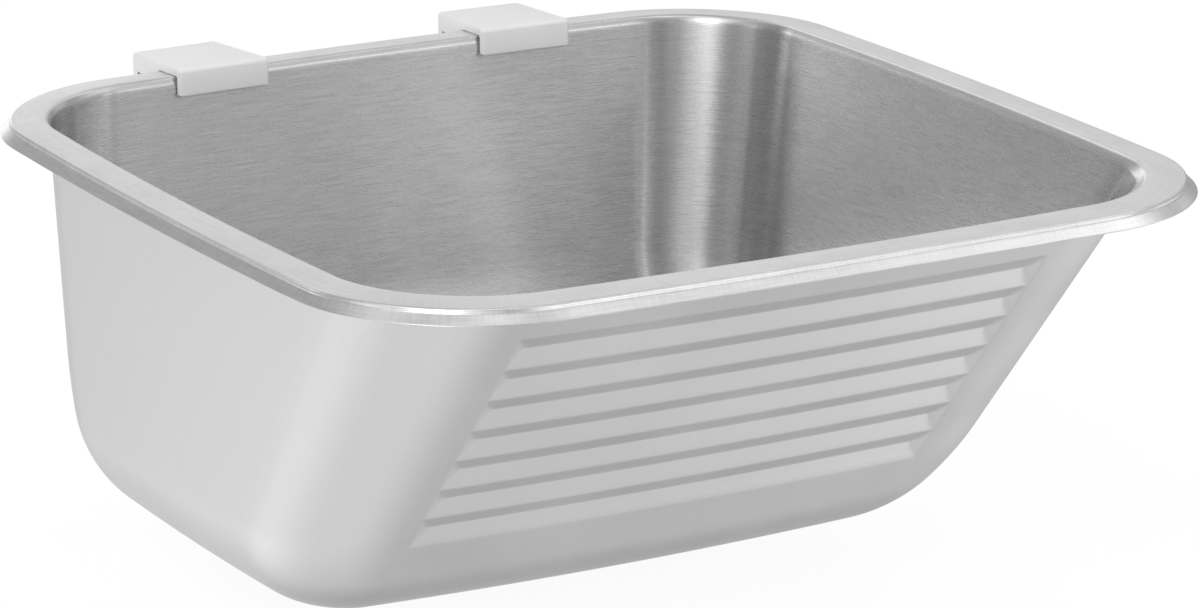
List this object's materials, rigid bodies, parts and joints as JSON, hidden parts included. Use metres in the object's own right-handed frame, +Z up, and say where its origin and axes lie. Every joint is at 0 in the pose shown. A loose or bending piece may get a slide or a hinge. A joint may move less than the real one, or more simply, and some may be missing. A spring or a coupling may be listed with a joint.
{
  "type": "inset sink",
  "caption": "Deep-drawn steel inset bowl with a washboard front wall, a flared rim, sliding rim hooks and a short plugged waste.",
  "frame": {"origin": "centre of the rim, in the plane of the lip's lower edge, on which the sink rests in its trough or cut-out", "axes": "+X to the right, +Y to the rear rim that carries the hooks, +Z up; the washboard wall faces -Y"},
  "size_m": [0.4006, 0.4301, 0.1971],
  "materials": {
    "brushed_sheet": "brushed inside, satin outside",
    "polished_steel": "polished",
    "hook_plastic": "fine matt",
    "nut_plastic": "matt",
    "seal_rubber": "matt"
  },
  "bodies": {
    "sink": {"bowl": "brushed_sheet", "waste_flange": "polished_steel", "upper_seal": "seal_rubber", "lower_seal": "seal_rubber", "back_nut": "nut_plastic"},
    "left_hook": {"hook_left": "hook_plastic"},
    "right_hook": {"hook_right": "hook_plastic"},
    "plug": {"plug": "seal_rubber"},
    "pull_ring": {"plug_ring": "polished_steel"}
  },
  "joints": [
    {"name": "left_hook_slide", "type": "hinge", "parent": "sink", "child": "left_hook", "pos_m": [0, -2.1, 0], "axis": [0, 0, -1], "range_deg": [-0.6, 1.25]},
    {"name": "right_hook_slide", "type": "hinge", "parent": "sink", "child": "right_hook", "pos_m": [0, -2.1, 0], "axis": [0, 0, 1], "range_deg": [-0.73, 1.13]},
    {"name": "plug_lift", "type": "slide", "parent": "sink", "child": "plug", "axis": [0, 0, 1], "range_m": [0, 0.2]},
    {"name": "ring_swing", "type": "hinge", "parent": "plug", "child": "pull_ring", "pos_m": [0, 0.06, -0.1629], "axis": [-1, 0, 0], "range_deg": [0, 168]}
  ]
}
